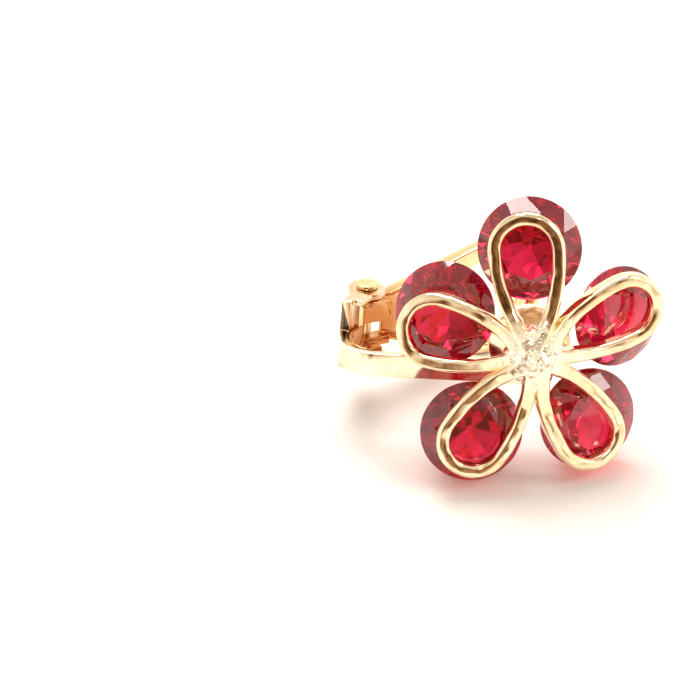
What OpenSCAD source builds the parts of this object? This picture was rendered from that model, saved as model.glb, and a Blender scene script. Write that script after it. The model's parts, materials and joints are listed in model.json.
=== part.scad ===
// Clip on earring: a five petal flower of gold wire loops with a round red stone
// behind each loop, on a spring clip whose paddle is open.
// The earring lies as it would on a table: it stands on its two lower petals
// and on the edge of the open paddle. +Z is up and the flower faces -Y.

/* [Petals] */
// Distance from the flower's middle to the centre of a loop's round end
end_u = 8.1; // [7.5:0.1:8.5]
// Radius of a loop's round end, along the middle of the wire
end_r = 2.44; // [2.3:0.02:2.6]
// Radius of the long curved sides of a loop
side_r = 13; // [12:0.5:14]
// Width of the wire's flat face
wire_w = 1.05; // [0.9:0.05:1.15]
// Depth of the wire from front to back
wire_d = 1.3; // [1.1:0.05:1.4]
// Bevel along the wire's edges
wire_bevel = 0.28; // [0.2:0.02:0.3]

/* [Hub] */
// Radius of the hub where the loops meet
hub_r = 1.75; // [1.5:0.05:2]
// Radius of the post behind the hub
post_r = 1.3; // [1.1:0.1:1.5]

/* [Stones] */
// Diameter of a stone
stone_d = 8; // [7.6:0.1:8]
// Distance from the flower's middle to a stone's middle
stone_u = 8; // [7.9:0.1:8.2]
// Distance from the wire's middle plane back to a stone's girdle
stone_back = 1.95; // [1.95:0.05:2.2]
// Width of the table across its corners
table_d = 4.6; // [4.2:0.1:4.8]
// Thickness of the girdle
girdle_t = 0.24; // [0.16:0.02:0.3]
// Slope of the eight main crown facets in degrees
crown_slope = 33; // [31:0.5:34]
// Slope of the eight main pavilion facets in degrees
pavilion_slope = 36; // [34:0.5:38]

/* [Clip] */
// Thickness of the clip's sheet metal
sheet_t = 0.7; // [0.6:0.05:0.8]
// Width of the leg that runs behind the flower
leg_w = 2; // [1.8:0.1:2.1]
// Width of the hinge across its two ears
hinge_w = 5.9; // [5.8:0.1:6.2]
// Radius of the bend along the middle of the sheet
bend_r = 2.9; // [2.7:0.1:3]
// Radius of the pad that the flower's post stands on
pad_r = 3.2; // [3:0.1:3.3]
// Distance from the wire's middle plane back to the leg's front face
leg_back = 4.25; // [4.25:0.05:4.4]
// Radius of the hinge pin
pin_r = 0.5; // [0.45:0.05:0.55]

/* [Paddle] */
// Angle between the paddle and the leg as it lies, 0 when parallel
paddle_open = 27.4; // [27.4]
// Distance from the hinge to the centre of the paddle's round end
paddle_u = 11.7; // [11.5:0.1:11.9]
// Radius of the paddle's round end
paddle_r = 5.05; // [5.05]
// Radius of the hole through it
paddle_hole_r = 3.2; // [3.1:0.05:3.3]
// Thickness of the paddle's sheet
paddle_t = 0.5; // [0.4:0.05:0.5]
// Width of the paddle at the hinge
heel_w = 4.3; // [4.1:0.1:4.4]

/* [Pose] */
// Angle by which the flower leans back from upright
flower_lean = 15; // [15]
// Angle by which the clip stands more upright than the flower
clip_pitch = 6; // [6]
// Angle by which the bend is turned up about the flower's own axis
clip_spin = 3; // [3]
// Height of the flower's middle above the table
hub_height = 10.63; // [10.63]
// Distance from the middle of the part's box to the flower's middle along X
hub_x = 2.36; // [2.36]
// Distance from the middle of the part's box to the flower's middle along Y
hub_y = -7.73; // [-7.73]

/* [Hidden] */
$fn = 64;

// How far a cutting shape passes the metal on each side
cut = 0.5;

// Each petal is set by hand: its direction round the flower, its lift towards
// the front, its twist about its own length, its stone's shift to one side and
// its stone's own tilt backwards
DIRECTION = 0;
LIFT = 1;
TWIST = 2;
SHIFT = 3;
TILT = 4;
TOP = [95, -10, -7, -0.1, 0];
LEFT = [171.8, -19, 10, -1.3, 0];
LOW_LEFT = [236, 5, 0, -0.1, 0];
LOW_RIGHT = [303.5, -6, -19, 1, 0];
RIGHT = [22, -17, 8, -1.5, 12];
PETALS = [TOP, LEFT, LOW_LEFT, LOW_RIGHT, RIGHT];

// A loop's side runs from its round end to just short of the flower's middle
side_end_u = 0.7;
side_fn = 96;
side_sweep = asin((end_u - side_end_u) / side_r);

// The hub stands proud of the wires in front and reaches deeper behind them
hub_bevel = 0.35;
hub_proud = 0.1;
hub_deep = 0.5;

// Cut of the stones. The small facets beside the girdle are a little steeper
// than the main facets, and the star facets round the table are flatter.
stone_r = stone_d / 2;
eight = 360 / 8;
half_eight = eight / 2;
quarter_eight = eight / 4;
crown_z = girdle_t / 2;
table_z = crown_z + (stone_r - table_d / 2) * tan(crown_slope);
star_slope = 20;
upper_extra = 6;
upper_slope = crown_slope + upper_extra;
lower_extra = 1.3;
lower_slope = pavilion_slope + lower_extra;
culet_r = 0.15;

// Clip, in its own frame: x to the right, y up the sheet's width, z to the front.
// The leg and the hinge sit lower than the flower's middle.
clip_y = -3.6;
leg_mid = leg_back + sheet_t / 2;
bend_x = -11.6;
bend_z = -leg_mid - bend_r;
pivot_x = -12.7;
pivot_z = -11.3;
hinge_y = -3;
pad_y = -1.1;
post_y = -0.9;

// Clearance round the pin, and between the post and the pad it stands on
pin_gap = 0.05;
solder_gap = 0.05;

// The straight run to the hinge leaves the bend along its tangent
pivot_far = norm([pivot_x - bend_x, pivot_z - bend_z]);
pivot_turn = atan2(bend_z - pivot_z, bend_x - pivot_x);
run_turn = pivot_turn - acos(bend_r / pivot_far);
run_l = sqrt(pivot_far * pivot_far - bend_r * bend_r);

// The bend is as narrow as the leg up to wide_turn, and then as wide as the hinge.
// The narrow part runs on a little way inside the wide one, which is thicker.
wide_turn = 197;
bend_lap = 8;
hinge_t = 0.8;

// Ears of the hinge. The wall between them stops short of the pin, so that the
// paddle's heel has room to turn.
ear_r = 1.55;
ear_t = 0.5;
ear_in = 1.1;
heel_room = 1.65;

// Leaf spring inside the bend
spring_t = 0.3;
spring_w = 1.6;
spring_gap = 0.06;
spring_r = bend_r - hinge_t / 2 - spring_gap - spring_t / 2;
spring_from = 118;
spring_y = -3.5;
spring_l = 1.1;

// Paddle, in a frame at the hinge: x towards its round end, z to the front.
// Its sheet starts at web_x, and its sides run straight up to flare_x.
sheet_z = -1.1;
cheek_r = 1.3;
rim_w = 0.45;
rim_h = 1.1;
flare_x = 2.4;
web_x = 1.9;
flare = asin((paddle_r - heel_w / 2) / (paddle_u - flare_x));

// Flaps folded over the pin from the paddle's two cheeks
flap_x = -0.7;
flap_l = 2.5;
flap_z = 0.72;
flap_t = 0.35;
flap_up = 1.5;
flap_low = 0.5;

// Heads of the hinge pin
head_r = 0.9;
head_t = 0.35;

// Frames. The flower's x is to the right, y up its face and z out of its front.
module on_flower() {
    translate([hub_x, hub_y, hub_height]) rotate([90 - flower_lean, 0, 0]) children();
}

// A petal's x runs out from the flower's middle along the loop
module on_petal(petal) {
    on_flower() rotate([0, 0, petal[DIRECTION]]) rotate([0, -petal[LIFT], 0])
        rotate([petal[TWIST], 0, 0]) children();
}

module on_clip() {
    on_flower() rotate([clip_pitch, 0, 0]) rotate([0, 0, -clip_spin]) children();
}

module on_paddle() {
    on_clip() translate([pivot_x, hinge_y, pivot_z]) rotate([0, paddle_open, 0]) children();
}

// Section of the flat wire with its edges bevelled
module wire_section() {
    w = wire_w / 2;
    d = wire_d / 2;
    b = wire_bevel;
    polygon([[-w, -d + b], [-w + b, -d], [w - b, -d], [w, -d + b],
        [w, d - b], [w - b, d], [-w + b, d], [-w, d - b]]);
}

// One teardrop loop: half a ring for the round end and two long arcs to the hub
module loop() {
    translate([end_u, 0, 0]) rotate([0, 0, -90])
        rotate_extrude(angle = 180) translate([end_r, 0]) wire_section();
    for (side = [0, 1])
        mirror([0, side, 0]) translate([end_u, end_r - side_r, 0]) rotate([0, 0, 90])
            rotate_extrude(angle = side_sweep, $fn = side_fn)
                translate([side_r, 0]) wire_section();
}

// Solder that joins the ten wire ends, as a disc with bevelled edges
module hub() {
    front = wire_d / 2 + hub_proud;
    back = wire_d / 2 + hub_deep;
    rotate_extrude() polygon([[0, -back], [hub_r - hub_bevel, -back], [hub_r, -back + hub_bevel],
        [hub_r, front - hub_bevel], [hub_r - hub_bevel, front], [0, front]]);
}

// Loops, hub and the post behind it, which is all one soldered piece of metal
module flower_frame() color("gold") {
    for (petal = PETALS) on_petal(petal) loop();
    on_flower() hub();
    on_clip() translate([0, post_y, -leg_back + solder_gap])
        cylinder(r = post_r, h = leg_back - solder_gap);
}

// A pyramid of eight planes whose apothem is given at height z
module slopes(apothem, slope, turn, z) {
    below = stone_r + z;
    low = apothem + below / tan(slope);
    tip = culet_r;
    rotate([0, 0, turn + half_eight]) translate([0, 0, -stone_r])
        cylinder(r1 = low / cos(half_eight), r2 = tip / cos(half_eight),
            h = (low - tip) * tan(slope), $fn = 8);
}

// Round stone with a table, 32 crown facets and 24 pavilion facets
module brilliant() {
    edge = stone_r * cos(quarter_eight);
    intersection() {
        translate([0, 0, -stone_r]) cylinder(r = stone_r, h = stone_r + table_z);
        slopes(stone_r, crown_slope, 0, crown_z);
        slopes(table_d / 2 * cos(half_eight) + (table_z - crown_z) / tan(star_slope),
            star_slope, half_eight, crown_z);
        slopes(edge, upper_slope, quarter_eight, crown_z);
        slopes(edge, upper_slope, quarter_eight + half_eight, crown_z);
        mirror([0, 0, 1]) {
            intersection() {
                slopes(stone_r, pavilion_slope, 0, crown_z);
                slopes(edge, lower_slope, quarter_eight, crown_z);
                slopes(edge, lower_slope, quarter_eight + half_eight, crown_z);
            }
        }
    }
}

// A stone behind its loop. A tilted one is set back by as much as its table rises.
module stone(petal) color("crimson")
    on_petal(petal) translate([stone_u, petal[SHIFT], -stone_back - table_d / 2 * sin(petal[TILT])])
        rotate([0, petal[TILT], 0]) brilliant();

module stone_top() stone(TOP);
module stone_left() stone(LEFT);
module stone_low_left() stone(LOW_LEFT);
module stone_low_right() stone(LOW_RIGHT);
module stone_right() stone(RIGHT);

// Turns a part drawn in x and y so that its thickness runs along the clip's y
module across(width) {
    rotate([90, 0, 0]) translate([0, 0, -width / 2]) linear_extrude(height = width) children();
}

// A stretch of the bend, from one angle to another, measured from the clip's x
module bend(from, to, radius, thick, width) {
    rotate([90, 0, 0]) rotate([0, 0, from]) rotate_extrude(angle = to - from)
        translate([radius, 0]) square([thick, width], center = true);
}

// The straight run goes on along the bend's tangent, with an ear on each side
module run() {
    rotate([90, 0, 0]) rotate([0, 0, 180 + run_turn]) {
        translate([bend_r - hinge_t / 2, 0, -hinge_w / 2])
            cube([hinge_t, run_l - heel_room, hinge_w]);
        for (side = [0, 1])
            mirror([0, 0, side]) translate([0, 0, hinge_w / 2 - ear_t]) {
                translate([bend_r - ear_in, 0, 0]) cube([ear_in + hinge_t / 2, run_l, ear_t]);
                translate([bend_r, run_l, 0]) cylinder(r = ear_r, h = ear_t);
            }
    }
}

// Strip behind the flower, from the pad it's soldered to, to the ears of the hinge
module clip_base() color("gold") on_clip() difference() {
    union() {
        // Pad and leg behind the flower
        translate([0, pad_y, -leg_back - sheet_t]) cylinder(r = pad_r, h = sheet_t);
        translate([bend_x, clip_y - leg_w / 2, -leg_back - sheet_t])
            cube([-bend_x, leg_w, sheet_t]);
        // Bend round the edge of the ear, wider towards the hinge
        translate([bend_x, clip_y, bend_z]) bend(90, wide_turn + bend_lap, bend_r, sheet_t, leg_w);
        translate([bend_x, hinge_y, bend_z]) {
            bend(wide_turn, 180 + run_turn, bend_r, hinge_t, hinge_w);
            run();
        }
    }
    translate([pivot_x, hinge_y, pivot_z]) across(hinge_w + 2 * cut) circle(r = pin_r + pin_gap);
}

// Leaf spring that lines the bend and reaches towards the paddle's heel
module clip_spring() color("goldenrod") on_clip() translate([bend_x, spring_y, bend_z]) {
    bend(spring_from, 180 + run_turn, spring_r, spring_t, spring_w);
    rotate([90, 0, 0]) rotate([0, 0, 180 + run_turn])
        translate([spring_r - spring_t / 2, 0, -spring_w / 2]) cube([spring_t, spring_l, spring_w]);
}

// Pin with a flat head on each end, outside the ears
module hinge_pin() color("darkgoldenrod") on_clip() translate([pivot_x, hinge_y, pivot_z]) {
    across(hinge_w + 2 * head_t) circle(r = pin_r);
    for (side = [0, 1])
        mirror([0, side, 0]) translate([0, (hinge_w + head_t) / 2 + pin_gap, 0])
            across(head_t) circle(r = head_r);
}

// Outline of the paddle, drawn in by the given margin
module paddle_outline(margin) {
    heel = heel_w / 2 - margin;
    end = paddle_r - margin;
    polygon([[0, -heel], [flare_x, -heel], [paddle_u - end * sin(flare), -end * cos(flare)],
        [paddle_u - end * sin(flare), end * cos(flare)], [flare_x, heel], [0, heel]]);
    translate([paddle_u, 0]) circle(r = end);
}

// Everything that turns on the pin
module clip_lever() color("gold") on_paddle() {
    paddle();
    heel_flaps();
}

// Sheet with a raised rim, a large hole, and two round cheeks on the pin
module paddle() difference() {
    union() {
        translate([0, 0, sheet_z]) linear_extrude(height = paddle_t) paddle_outline(0);
        translate([0, 0, sheet_z]) linear_extrude(height = rim_h) difference() {
            paddle_outline(0);
            paddle_outline(rim_w);
        }
        for (side = [0, 1])
            mirror([0, side, 0]) translate([0, (heel_w - rim_w) / 2, 0])
                across(rim_w) circle(r = cheek_r);
    }
    // Between the cheeks the sheet is cut away, so that the leaf spring has room
    translate([-cheek_r, rim_w - heel_w / 2, -2 * cheek_r])
        cube([web_x + cheek_r, heel_w - 2 * rim_w, 4 * cheek_r]);
    translate([paddle_u, 0, sheet_z - cut]) cylinder(r = paddle_hole_r, h = paddle_t + 2 * cut);
    across(heel_w + 2 * cut) circle(r = pin_r + pin_gap);
}

// Flaps folded over the pin from each cheek, the upper one wider
module heel_flaps() {
    translate([flap_x, heel_w / 2 - rim_w - flap_up, flap_z])
        cube([flap_l, flap_up + rim_w / 2, flap_t]);
    translate([flap_x, rim_w / 2 - heel_w / 2, flap_z])
        cube([flap_l, flap_low + rim_w / 2, flap_t]);
}

flower_frame();
stone_top();
stone_left();
stone_low_left();
stone_low_right();
stone_right();
clip_base();
clip_spring();
hinge_pin();
clip_lever();
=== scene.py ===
import json
import math
import bmesh
import bpy
import numpy as np
from mathutils import Matrix, Vector


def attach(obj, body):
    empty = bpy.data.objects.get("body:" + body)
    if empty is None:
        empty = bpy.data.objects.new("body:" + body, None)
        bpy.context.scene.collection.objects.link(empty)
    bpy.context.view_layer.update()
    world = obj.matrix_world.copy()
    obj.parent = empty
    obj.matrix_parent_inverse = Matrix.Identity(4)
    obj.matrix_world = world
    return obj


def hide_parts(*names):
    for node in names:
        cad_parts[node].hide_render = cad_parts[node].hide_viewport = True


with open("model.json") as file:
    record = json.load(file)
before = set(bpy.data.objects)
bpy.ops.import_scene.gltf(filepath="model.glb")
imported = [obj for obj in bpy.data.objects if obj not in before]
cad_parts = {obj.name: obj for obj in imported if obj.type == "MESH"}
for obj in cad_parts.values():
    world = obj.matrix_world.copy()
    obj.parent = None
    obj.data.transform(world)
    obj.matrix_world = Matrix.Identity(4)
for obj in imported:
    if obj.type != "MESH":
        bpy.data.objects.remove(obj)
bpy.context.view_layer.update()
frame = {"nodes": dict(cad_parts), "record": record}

# Camera
# The photo looks down on the earring. The flower's middle is at pixel 534, 356 of
# 700, and its 8 mm stones measure about 105 pixels across.
MM = 0.001
PHOTO_SIDE = 700
SENSOR = 36.0
CAMERA_ELEVATION = math.radians(35)
CAMERA_DISTANCE = 174.6 * MM
FOCAL_PIXELS = 2289
HUB_PIXEL = (534.4, 355.6)
HUB = Vector((2.36, -7.73, 10.63)) * MM
right = Vector((1, 0, 0))
up = Vector((0, math.sin(CAMERA_ELEVATION), math.cos(CAMERA_ELEVATION)))
back = Vector((0, -math.cos(CAMERA_ELEVATION), math.sin(CAMERA_ELEVATION)))
aside = (HUB_PIXEL[0] - PHOTO_SIDE / 2) * CAMERA_DISTANCE / FOCAL_PIXELS
below = (HUB_PIXEL[1] - PHOTO_SIDE / 2) * CAMERA_DISTANCE / FOCAL_PIXELS
camera_data = bpy.data.cameras.new("camera")
camera_data.sensor_width = SENSOR
camera_data.lens = FOCAL_PIXELS / PHOTO_SIDE * SENSOR
camera_data.clip_start = 10 * MM
camera = bpy.data.objects.new("camera", camera_data)
camera.location = HUB - aside * right + below * up + CAMERA_DISTANCE * back
camera.rotation_euler = (math.pi / 2 - CAMERA_ELEVATION, 0, 0)
bpy.context.collection.objects.link(camera)
bpy.context.scene.camera = camera


# Light
# The earring lies in a tent of white cloth that is open in front, where the room is dim.
# A soft box shines in from above and behind. Three small ones, overhead and at the right,
# light up single facets of the stones, and one in front lights up the solder.
def linear(code):
    """An sRGB hex colour as linear RGB with alpha 1."""
    parts = [int(code[i:i + 2], 16) / 255 for i in (1, 3, 5)]
    return tuple(p / 12.92 if p <= 0.04045 else ((p + 0.055) / 1.055) ** 2.4 for p in parts) + (1.0,)


def add(tree, kind, settings, links):
    """Adds one shader node: settings name its attributes or sockets, links join sockets to it."""
    node = tree.nodes.new(kind)
    for name, value in settings.items():
        if isinstance(name, int) or name in node.inputs:
            node.inputs[name].default_value = value
        else:
            setattr(node, name, value)
    for name, source in links.items():
        tree.links.new(source, node.inputs[name])
    return node


def ramp(tree, value, low, low_colour, high, high_colour):
    """A colour that goes from low_colour at low to high_colour at high."""
    node = add(tree, "ShaderNodeValToRGB", {}, {"Fac": value})
    node.color_ramp.elements[0].position = low
    node.color_ramp.elements[0].color = linear(low_colour)
    node.color_ramp.elements[1].position = high
    node.color_ramp.elements[1].color = linear(high_colour)
    return node.outputs["Color"]


TENT_STRENGTH = 1.6
# The cloth is brightest low down
CLOTH_LOW = "#FFF8EE"
CLOTH_TOP = "#B0A9A0"
ROOM_DARK = "#382214"
ROOM_LIGHT = "#966C4A"
# The opening's middle is a little above the horizon. Its edge fades over 11 degrees
OPENING_ELEVATION = math.radians(6)
OPENING_EDGE = math.cos(math.radians(44))
OPENING_MIDDLE = math.cos(math.radians(33))
opening = (0, -math.cos(OPENING_ELEVATION), math.sin(OPENING_ELEVATION))
world = bpy.data.worlds.new("white_tent_open_in_front")
world.use_nodes = True
tree = world.node_tree
tree.nodes.clear()
direction = add(tree, "ShaderNodeTexCoord", {}, {}).outputs["Generated"]
height = add(tree, "ShaderNodeSeparateXYZ", {}, {"Vector": direction}).outputs["Z"]
cloth = ramp(tree, height, 0.0, CLOTH_LOW, 0.95, CLOTH_TOP)
toward = add(tree, "ShaderNodeVectorMath", {"operation": "DOT_PRODUCT", 1: opening}, {0: direction})
# Dark and light things in the room, about 15 degrees across, mottle the reflections in the wires
clutter = add(tree, "ShaderNodeTexNoise", {"Scale": 4, "Detail": 3}, {"Vector": direction})
room = ramp(tree, clutter.outputs["Fac"], 0.36, ROOM_DARK, 0.64, ROOM_LIGHT)
gap = add(tree, "ShaderNodeMapRange", {"From Min": OPENING_EDGE, "From Max": OPENING_MIDDLE},
          {"Value": toward.outputs["Value"]})
around = add(tree, "ShaderNodeMix", {"data_type": "RGBA"},
             {"Factor": gap.outputs["Result"], 6: cloth, 7: room})
sky = add(tree, "ShaderNodeBackground", {"Strength": TENT_STRENGTH}, {"Color": around.outputs[2]})
add(tree, "ShaderNodeOutputWorld", {}, {"Surface": sky.outputs["Background"]})
bpy.context.scene.world = world

LAMP_WHITE = "#FFFDF8"
# Each soft box has a place and a side in metres, and a power in watts
SOFT_BOXES = {
    "key": ((-0.03, 0.20, 0.36), 0.24, 2.0),
    "catch_light": ((-0.0598, -0.0365, 0.312), 0.035, 0.035),
    "catch_light_left": ((-0.124, 0.037, 0.298), 0.035, 0.035),
    "front_light": ((0.002, -0.205, 0.237), 0.05, 0.065),
    "side_light": ((0.247, -0.066, 0.240), 0.11, 0.24)}


def soft_box(name, place, side, watts):
    """A square area light at place, turned to face the flower's middle."""
    data = bpy.data.lights.new(name, "AREA")
    data.size = side
    data.energy = watts
    data.color = linear(LAMP_WHITE)[:3]
    box = bpy.data.objects.new(name, data)
    box.location = place
    box.rotation_euler = (HUB - box.location).to_track_quat("-Z", "Y").to_euler()
    bpy.context.collection.objects.link(box)


for name, (place, side, watts) in SOFT_BOXES.items():
    soft_box(name, place, side, watts)
bpy.context.scene.view_settings.view_transform = "Standard"


# Floor
# Matt white card. Well in front of the earring it fades to tan: painted shade that darkens
# what the wires and hub reflect in front. It isn't part of the object.
def new_material(name):
    """An empty node material and its output node."""
    material = bpy.data.materials.new(name)
    material.use_nodes = True
    material.node_tree.nodes.clear()
    return material, add(material.node_tree, "ShaderNodeOutputMaterial", {}, {})


FLOOR_HALF = 0.6
FLOOR_SHADE_START = -50 * MM
FLOOR_SHADE_FULL = -110 * MM
CARD_DEEP = "#DBD8D5"
CARD_LIGHT = "#E1DEDB"
FLOOR_SHADE_TAN = "#BCAA98"
card, output = new_material("matt_white_card")
tree = card.node_tree
place = add(tree, "ShaderNodeTexCoord", {}, {}).outputs["Object"]
# Paper fibres about 0.4 mm across
fibres = add(tree, "ShaderNodeTexNoise", {"Scale": 2500, "Detail": 3}, {"Vector": place})
white = ramp(tree, fibres.outputs["Fac"], 0.0, CARD_DEEP, 1.0, CARD_LIGHT)
depth = add(tree, "ShaderNodeSeparateXYZ", {}, {"Vector": place}).outputs["Y"]
# Painted shade: well in front of the earring the card fades to tan
near = add(tree, "ShaderNodeMapRange",
           {"interpolation_type": "SMOOTHSTEP", "From Min": FLOOR_SHADE_START, "From Max": FLOOR_SHADE_FULL},
           {"Value": depth})
tone = add(tree, "ShaderNodeMix", {"data_type": "RGBA", 7: linear(FLOOR_SHADE_TAN)},
           {"Factor": near.outputs["Result"], 6: white})
paper = add(tree, "ShaderNodeBsdfPrincipled", {"Roughness": 0.9}, {"Base Color": tone.outputs[2]})
tree.links.new(paper.outputs["BSDF"], output.inputs["Surface"])
floor_mesh = bpy.data.meshes.new("floor")
corners = [(-FLOOR_HALF, -FLOOR_HALF, 0), (FLOOR_HALF, -FLOOR_HALF, 0),
           (FLOOR_HALF, FLOOR_HALF, 0), (-FLOOR_HALF, FLOOR_HALF, 0)]
floor_mesh.from_pydata(corners, [], [(0, 1, 2, 3)])
floor_mesh.materials.append(card)
floor = bpy.data.objects.new("floor", floor_mesh)
bpy.context.collection.objects.link(floor)


# Petal loops
# Five teardrop loops of flat brass wire, cast in one with the hub and plated a thin
# pale gold. Casting and tumbling leave the wire a little uneven, with soft bright edges.

# Noise scales in cells for each metre: patches of colour 2.2 mm across, marks left by
# tumbling 0.11 mm across and grains of crust 0.25 mm across
DRIFT_SCALE = 450
MARKS_SCALE = 9000
CRUST_SCALE = 4000
# The marks make the roughness go from SMOOTHEST to ROUGHEST times its middle value
SMOOTHEST = 0.7
ROUGHEST = 1.4
# Within this share of a spot's reach its finish is at full strength
SPOT_CORE = 0.4


def plated_gold(name, light, deep, wave_mm, wave_strength, rough, spot=None):
    """Polished gold plate: slow colour drift, a wavy polish and fine tumbling marks. A spot has
    another finish: its middle, the reach at which it begins, its colour, roughness and crust."""
    material, output = new_material(name)
    tree = material.node_tree
    place = add(tree, "ShaderNodeTexCoord", {}, {}).outputs["Object"]
    drift = add(tree, "ShaderNodeTexNoise", {"Scale": DRIFT_SCALE, "Detail": 4, "Roughness": 0.6},
                {"Vector": place})
    colour = ramp(tree, drift.outputs["Fac"], 0.3, deep, 0.65, light)
    marks = add(tree, "ShaderNodeTexNoise", {"Scale": MARKS_SCALE, "Detail": 5, "Roughness": 0.7},
                {"Vector": place})
    gloss = add(tree, "ShaderNodeMapRange",
                {"From Min": 0.3, "From Max": 0.7, "To Min": rough * SMOOTHEST, "To Max": rough * ROUGHEST},
                {"Value": marks.outputs["Fac"]})
    wave = add(tree, "ShaderNodeTexNoise", {"Scale": 1 / (wave_mm * MM), "Detail": 2}, {"Vector": place})
    wavy = add(tree, "ShaderNodeBump", {"Strength": wave_strength, "Distance": 0.1 * MM},
               {"Height": wave.outputs["Fac"]})
    fine = add(tree, "ShaderNodeBump", {"Strength": 0.06, "Distance": 0.02 * MM},
               {"Height": marks.outputs["Fac"], "Normal": wavy.outputs["Normal"]})
    gloss = gloss.outputs["Result"]
    if spot:
        away = add(tree, "ShaderNodeVectorMath", {"operation": "DISTANCE", 1: spot["middle"]}, {0: place})
        near = add(tree, "ShaderNodeMapRange",
                   {"interpolation_type": "SMOOTHSTEP", "From Min": spot["reach"],
                    "From Max": spot["reach"] * SPOT_CORE},
                   {"Value": away.outputs["Value"]})
        near = near.outputs["Result"]
        # On the wires the spot's colour is the solder's paler plate; on the clip sheet it is painted shade
        # and painted reflection round the hinge
        mixed = add(tree, "ShaderNodeMix", {"data_type": "RGBA", 7: linear(spot["colour"])},
                    {"Factor": near, 6: colour})
        colour = mixed.outputs[2]
        dulled = add(tree, "ShaderNodeMix", {"data_type": "FLOAT", 3: spot["rough"]},
                     {"Factor": near, 2: gloss})
        gloss = dulled.outputs[0]
        crust = add(tree, "ShaderNodeTexNoise", {"Scale": CRUST_SCALE, "Detail": 4}, {"Vector": place})
        fine = add(tree, "ShaderNodeBump", {"Distance": spot["crust"]},
                   {"Strength": near, "Height": crust.outputs["Fac"], "Normal": fine.outputs["Normal"]})
    metal = add(tree, "ShaderNodeBsdfPrincipled", {"Metallic": 1.0},
                {"Base Color": colour, "Roughness": gloss, "Normal": fine.outputs["Normal"]})
    tree.links.new(metal.outputs["BSDF"], output.inputs["Surface"])
    return material


def tube_faces(rows, columns):
    """Quads of a grid whose columns close on themselves, with a fan at each end. The fans' two
    middle points come after the grid's own."""
    near = np.arange(rows - 1)[:, None] * columns + np.arange(columns)
    turned = np.arange(rows - 1)[:, None] * columns + (np.arange(columns) + 1) % columns
    quads = np.stack([near, turned, turned + columns, near + columns], -1).reshape(-1, 4)
    first = np.arange(columns)
    second = (first + 1) % columns
    last = (rows - 1) * columns
    start = np.stack([np.full(columns, rows * columns), second, first], -1)
    end = np.stack([np.full(columns, rows * columns + 1), last + first, last + second], -1)
    return quads.tolist() + start.tolist() + end.tolist()


def new_piece(name, points, faces, matrix, material, body):
    """A smooth shaded closed piece whose place is in its mesh, riding on a CAD body."""
    mesh = bpy.data.meshes.new(name)
    turn = np.array(matrix)
    mesh.from_pydata((points @ turn[:3, :3].T + turn[:3, 3]).tolist(), [], faces)
    shape = bmesh.new()
    shape.from_mesh(mesh)
    bmesh.ops.recalc_face_normals(shape, faces=shape.faces)
    shape.to_mesh(mesh)
    shape.free()
    mesh.shade_smooth()
    mesh.materials.append(material)
    piece = bpy.data.objects.new(name, mesh)
    bpy.context.collection.objects.link(piece)
    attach(piece, body)
    return piece


# The wire's width, its depth from front to back, and how square its section is
WIRE_W = 1.05 * MM
WIRE_D = 1.3 * MM
SQUARENESS = 3.4
# The round end's middle and radius, and the sides' radius and where they end, from the hub
END_U = 8.1 * MM
END_R = 2.44 * MM
SIDE_R = 13 * MM
SIDE_END_U = 0.7 * MM
# Dents of the casting and long streaks of the polish: their height as a share of the
# section, how many waves, the shortest and the longest, and the most turns round the wire
DENTS = (0.018, 14, 1.4 * MM, 4 * MM, 3)
STREAKS = (0.012, 24, 6 * MM, 30 * MM, 9)
# Near the hub the wire swells by a share of its section, rises and gets bumpy
ROOT_FLARE = 2.1 * MM
ROOT_SWELL = 0.3
ROOT_RISE = 0.6 * MM
ROOT_REACH = 2.8 * MM
ROOT_BUMPS = 50
ROOT_BUMP_WIDTHS = (0.15 * MM, 0.38 * MM)
ROOT_BUMP_HEIGHT = 0.1
FLOWER_LEAN = math.radians(15)
# Each loop's direction round the flower, its lift to the front and its twist, in degrees
PETALS = {"top": (95, -10, -7), "left": (171.8, -19, 10), "low_left": (236, 5, 0),
          "low_right": (303.5, -6, -19), "right": (22, -17, 8)}


def ripple(along, around, pattern, random):
    """Sum of sine waves over a surface. Each has a wavelength along it, a whole number of turns
    round it and a phase, all drawn at random. The sum's usual height is the pattern's."""
    height, waves, shortest, longest, most_turns = pattern
    length = random.uniform(shortest, longest, waves)
    turns = random.integers(-most_turns, most_turns + 1, waves)
    phase = random.uniform(0, 2 * np.pi, waves)
    angle = 2 * np.pi * along[..., None] / length + turns * around[..., None] + phase
    return height * (np.sin(angle).sum(-1) * math.sqrt(2 / waves))


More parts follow.
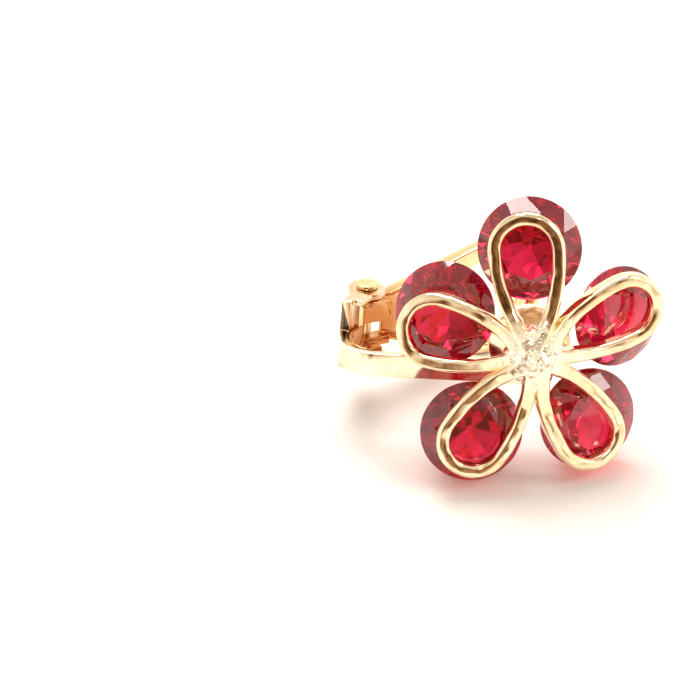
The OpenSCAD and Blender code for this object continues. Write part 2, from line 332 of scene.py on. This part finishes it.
def petal_loop(stations, columns, seed):
    """A wire carried along a teardrop. The line is a half circle of END_R and two arcs of SIDE_R.
    The section is a superellipse WIRE_W by WIRE_D, its size uneven by a few hundredths, with low
    ridges along it. The ends lie in the hub: there a bell curve makes it swell and rise to the
    front, and bell shaped bumps and pits crowd."""
    random = np.random.default_rng(seed)
    sweep = math.asin((END_U - SIDE_END_U) / SIDE_R)
    half_end = END_R * math.pi / 2
    s = np.linspace(-half_end - SIDE_R * sweep, half_end + SIDE_R * sweep, stations)
    on_end = np.abs(s) < half_end
    side = np.sign(s)
    heading = np.where(on_end, s / END_R, side * (math.pi / 2 + (np.abs(s) - half_end) / SIDE_R))
    reach = np.where(on_end, END_R, SIDE_R)
    u = END_U + reach * np.cos(heading)
    v = side * (END_R - reach) + reach * np.sin(heading)
    turn = np.arange(columns) * 2 * np.pi / columns
    wide = WIRE_W / 2 * np.sign(np.cos(turn)) * np.abs(np.cos(turn)) ** (2 / SQUARENESS)
    deep = WIRE_D / 2 * np.sign(np.sin(turn)) * np.abs(np.sin(turn)) ** (2 / SQUARENESS)
    along, around = np.meshgrid(s, turn, indexing="ij")
    size = 1 + ripple(along, around, DENTS, random)
    size += ripple(along, around, STREAKS, random)
    root = np.exp(-((s[-1] - np.abs(along)) / ROOT_FLARE) ** 2)
    size += ROOT_SWELL * root
    for _ in range(ROOT_BUMPS):
        middle = random.choice([-1, 1]) * (s[-1] - ROOT_REACH * random.uniform(0, 1) ** 2)
        toward = random.uniform(0, 2 * np.pi)
        width = random.uniform(*ROOT_BUMP_WIDTHS)
        height = random.uniform(-ROOT_BUMP_HEIGHT, ROOT_BUMP_HEIGHT)
        off = np.angle(np.exp(1j * (around - toward))) * WIRE_W / 2
        size += height * np.exp(-((along - middle) ** 2 + off ** 2) / width ** 2)
    x = u[:, None] + np.cos(heading)[:, None] * wide * size
    y = v[:, None] + np.sin(heading)[:, None] * wide * size
    z = deep * size + ROOT_RISE * root
    middles = [(u[0], v[0], ROOT_RISE), (u[-1], v[-1], ROOT_RISE)]
    return np.vstack([np.stack([x, y, z], -1).reshape(-1, 3), middles])


# Cast brass, tumbled and plated: bright and slightly wavy. Round the hub the solder has
# run up the wires and made them paler and rough
CAST_SPOT = {"middle": HUB, "reach": 3.4 * MM, "colour": "#FFF6E0", "rough": 0.3, "crust": 0.1 * MM}
cast_gold = plated_gold("cast_brass_pale_gold_plate", "#FFF0D2", "#ECCE9C",
                        wave_mm=1.6, wave_strength=0.35, rough=0.11, spot=CAST_SPOT)
on_flower = Matrix.Translation(HUB) @ Matrix.Rotation(math.pi / 2 - FLOWER_LEAN, 4, "X")
LOOP_STATIONS = 260
LOOP_COLUMNS = 64
for seed, (petal, (direction_deg, lift, twist)) in enumerate(PETALS.items()):
    on_petal = on_flower @ Matrix.Rotation(math.radians(direction_deg), 4, "Z") \
        @ Matrix.Rotation(math.radians(-lift), 4, "Y") @ Matrix.Rotation(math.radians(twist), 4, "X")
    loop = new_piece("loop_" + petal, petal_loop(LOOP_STATIONS, LOOP_COLUMNS, seed),
                     tube_faces(LOOP_STATIONS, LOOP_COLUMNS), on_petal, cast_gold, "clip")
    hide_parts("flower_frame")


# Hub solder
# The ten wire ends are soldered together in the middle. The solder has run into a low,
# rough lump with a lobe into the crotch of each loop. The plate over it isn't polished,
# so it gleams a paler, softer gold than the wires.

# The lump's radius, and how far and how wide in degrees its lobes reach
HUB_R = 1.9 * MM
HUB_LOBE = 0.5 * MM
LOBE_SPREAD = 11
# Its height at the rim, its dome on top of that, its middle plane and its depth behind
HUB_RIM = 0.95 * MM
HUB_DOME = 0.65 * MM
DOME_R = 1.2 * MM
HUB_MIDDLE = -0.2 * MM
HUB_BACK = 0.95 * MM
# Its pits and pips
PIPS = 230
PIP_WIDTHS = (0.09 * MM, 0.28 * MM)
PIP_HEIGHT = 0.16 * MM


def solder_lump(rings, spokes, pips, seed):
    """A closed pillow. Its edge radius is HUB_R plus a bell curve towards each loop. Its front is
    a bell shaped dome with small bell shaped pits and pips, its back is plain, and both fall to
    the middle plane at the edge as sqrt(1 - r^6)."""
    random = np.random.default_rng(seed)
    path = np.linspace(0, 2, 2 * rings + 1)[1:-1]
    front = (path <= 1)[:, None]
    r = np.where(path <= 1, path, 2 - path)[:, None]
    turn = np.arange(spokes) * 2 * np.pi / spokes
    edge = np.full(spokes, HUB_R)
    for direction_deg, lift, twist in PETALS.values():
        off = np.angle(np.exp(1j * (turn - math.radians(direction_deg))))
        edge += HUB_LOBE * np.exp(-(off / math.radians(LOBE_SPREAD)) ** 2)
    x = r * edge * np.cos(turn)
    y = r * edge * np.sin(turn)
    height = HUB_RIM + HUB_DOME * np.exp(-(x ** 2 + y ** 2) / DOME_R ** 2)
    for _ in range(pips):
        reach = (HUB_R + HUB_LOBE) * math.sqrt(random.uniform(0, 1))
        angle = random.uniform(0, 2 * math.pi)
        width = random.uniform(*PIP_WIDTHS)
        bump = random.uniform(-PIP_HEIGHT, PIP_HEIGHT)
        away = (x - reach * math.cos(angle)) ** 2 + (y - reach * math.sin(angle)) ** 2
        height += bump * np.exp(-away / width ** 2)
    close = np.sqrt(1 - r ** 6)
    z = HUB_MIDDLE + np.where(front, height - HUB_MIDDLE, -HUB_BACK) * close
    poles = [(0, 0, z[0].mean()), (0, 0, z[-1].mean())]
    return np.vstack([np.stack([x, y, z], -1).reshape(-1, 3), poles])


# Solder that the tumbling didn't reach: pale, crusty and much less glossy than the wires
solder_gold = plated_gold("unpolished_solder_pale_gold_plate", "#FFF9EC", "#F6E4C4",
                          wave_mm=0.35, wave_strength=0.7, rough=0.26)
LUMP_RINGS = 60
LUMP_SPOKES = 280
LUMP_SEED = 7
lump = new_piece("hub_solder", solder_lump(LUMP_RINGS, LUMP_SPOKES, PIPS, LUMP_SEED),
                 tube_faces(2 * LUMP_RINGS - 1, LUMP_SPOKES), on_flower, solder_gold, "clip")
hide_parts("flower_frame")


# Flower post
# A short brass post joins the hub to the pad of the clip. The solder round its foot
# flares out over the pad.
POST_Y = -0.9 * MM
POST_R = 1.3 * MM
POST_TOP = -0.5 * MM
POST_FOOT = -4.25 * MM
FOOT_FLARE = 0.35 * MM
FLARE_HEIGHT = 0.22 * MM
CLIP_PITCH = math.radians(6)
CLIP_SPIN = math.radians(3)


def flower_post(rows, columns):
    """A turned post: its radius is POST_R plus a flare that dies away exponentially up from the foot."""
    z = np.linspace(POST_TOP, POST_FOOT, rows)[:, None]
    turn = np.arange(columns) * 2 * np.pi / columns
    radius = POST_R + FOOT_FLARE * np.exp((POST_FOOT - z) / FLARE_HEIGHT)
    x = radius * np.cos(turn)
    y = POST_Y + radius * np.sin(turn)
    middles = [(0, POST_Y, POST_TOP), (0, POST_Y, POST_FOOT)]
    return np.vstack([np.stack([x, y, z + 0 * x], -1).reshape(-1, 3), middles])


on_clip = on_flower @ Matrix.Rotation(CLIP_PITCH, 4, "X") @ Matrix.Rotation(-CLIP_SPIN, 4, "Z")
POST_ROWS = 60
POST_COLUMNS = 72
post = new_piece("flower_post", flower_post(POST_ROWS, POST_COLUMNS), tube_faces(POST_ROWS, POST_COLUMNS),
                 on_clip, cast_gold, "clip")
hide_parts("flower_frame")


# Stones
# Round brilliant cut red glass, set open at the back so light comes through. The red
# is dyed through the glass and varies slightly from place to place. Fine scratches on
# the facets scatter a little of the light.
def dress(node, material):
    """Gives a CAD node's object the material, on the object and not on its mesh."""
    piece = frame["nodes"][node]
    for slot in piece.material_slots:
        slot.link = "OBJECT"
        slot.material = material


DYE_DEEP = "#CA224E"
DYE_LIGHT = "#DE3458"
GLOW = "#E0707A"
DEPTH_TINT = "#F0B0CC"
red_glass, output = new_material("red_glass_cut_and_polished")
tree = red_glass.node_tree
place = add(tree, "ShaderNodeTexCoord", {}, {}).outputs["Object"]
# Clouds in the dye are about 1.7 mm across
cloud = add(tree, "ShaderNodeTexNoise", {"Scale": 600, "Detail": 3, "Distortion": 0.6}, {"Vector": place})
dye = ramp(tree, cloud.outputs["Fac"], 0.35, DYE_DEEP, 0.7, DYE_LIGHT)
# Heavy lead glass bends light as much as a ruby does, so the facets flash
glass = add(tree, "ShaderNodeBsdfPrincipled",
            {"Transmission Weight": 0.93, "IOR": 1.77, "Roughness": 0.02, "Specular IOR Level": 0.3},
            {"Base Color": dye})
# Light that passes through a stone reaches the ground as a red glow, not as a grey shadow
path = add(tree, "ShaderNodeLightPath", {}, {})
glow = add(tree, "ShaderNodeBsdfTransparent", {"Color": linear(GLOW)}, {})
cast = add(tree, "ShaderNodeMixShader", {}, {"Fac": path.outputs["Is Shadow Ray"]})
tree.links.new(glass.outputs["BSDF"], cast.inputs[1])
tree.links.new(glow.outputs["BSDF"], cast.inputs[2])
tree.links.new(cast.outputs["Shader"], output.inputs["Surface"])
density = add(tree, "ShaderNodeVolumeAbsorption", {"Color": linear(DEPTH_TINT), "Density": 280.0}, {})
tree.links.new(density.outputs["Volume"], output.inputs["Volume"])
for node in ["stone_top", "stone_left", "stone_low_left", "stone_low_right", "stone_right"]:
    dress(node, red_glass)


# Clip
# Stamped brass strip, bent round the lobe gap and plated pale gold, and a paddle and
# spring of deeper gold. Sheet is flatter than the casting, so its reflections are
# smoother. Tumbling has rounded its cut edges over by a few hundredths of a millimetre.

# Points closer than this are one, faces turned by less than this are one flat face, and
# edges turned by more than this are sharp
MERGE = 0.001 * MM
FLAT_BELOW = math.radians(0.5)
SHARP_ABOVE = math.radians(35)


def soften(node, name, material, body, radius):
    """A copy of a CAD node's mesh, merged where its triangles meet, with its sharp edges rounded."""
    mesh = frame["nodes"][node].data.copy()
    mesh.name = name
    shape = bmesh.new()
    shape.from_mesh(mesh)
    bmesh.ops.remove_doubles(shape, verts=shape.verts, dist=MERGE)
    bmesh.ops.dissolve_limit(shape, angle_limit=FLAT_BELOW, verts=shape.verts, edges=shape.edges)
    shape.to_mesh(mesh)
    shape.free()
    mesh.shade_smooth()
    mesh.materials.clear()
    mesh.materials.append(material)
    piece = bpy.data.objects.new(name, mesh)
    bpy.context.collection.objects.link(piece)
    edge = piece.modifiers.new("tumbled_edges", "BEVEL")
    edge.width = radius
    edge.segments = 3
    edge.limit_method = "ANGLE"
    edge.angle_limit = SHARP_ABOVE
    edge.harden_normals = True
    edge.use_clamp_overlap = False
    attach(piece, body)
    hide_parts(node)
    return piece


# Bright flat sheet. Round the hinge it turns deeper, warmer and a little rougher. The colour there is
# painted shade in the folds and painted reflection of the red stones and gold round them. The rougher
# finish is real. The middle of that painted shade is a little under the hinge's
SHADE_DROP = 1.0 * MM
HINGE = Vector(frame["record"]["behaviour"]["joints"][0]["pos_m"])
HINGE_SHADE_MIDDLE = HINGE - Vector((0, 0, SHADE_DROP))
# Painted shade and painted reflection: the spot's deep orange colour darkens the sheet round the hinge
HINGE_SHADE_SPOT = {"middle": HINGE_SHADE_MIDDLE, "reach": 5.6 * MM, "colour": "#C6864C", "rough": 0.14,
              "crust": 0.01 * MM}
strip_gold = plated_gold("bent_brass_strip_pale_gold_plate", "#FFF2DA", "#F9E1BA",
                         wave_mm=3.5, wave_strength=0.3, rough=0.1, spot=HINGE_SHADE_SPOT)
sheet_gold = plated_gold("stamped_brass_gold_plate", "#FFE2B0", "#F2CE92",
                         wave_mm=3.5, wave_strength=0.3, rough=0.1, spot=HINGE_SHADE_SPOT)
SHEET_EDGE = 0.07 * MM
SPRING_EDGE = 0.04 * MM
soften("clip_base", "clip_strip", strip_gold, "clip", SHEET_EDGE)
soften("clip_lever", "clip_paddle", sheet_gold, "paddle", SHEET_EDGE)
soften("clip_spring", "clip_leaf_spring", sheet_gold, "clip", SPRING_EDGE)


# Hinge pin
# Drawn brass pin with riveted heads. The hammering leaves them slightly duller than the
# sheet round them.
PIN_EDGE = 0.08 * MM
pin_gold = plated_gold("drawn_brass_pin_gold_plate", "#F4DEAC", "#DDBC7E",
                       wave_mm=0.8, wave_strength=0.4, rough=0.22)
soften("hinge_pin", "hinge_rivet", pin_gold, "clip", PIN_EDGE)
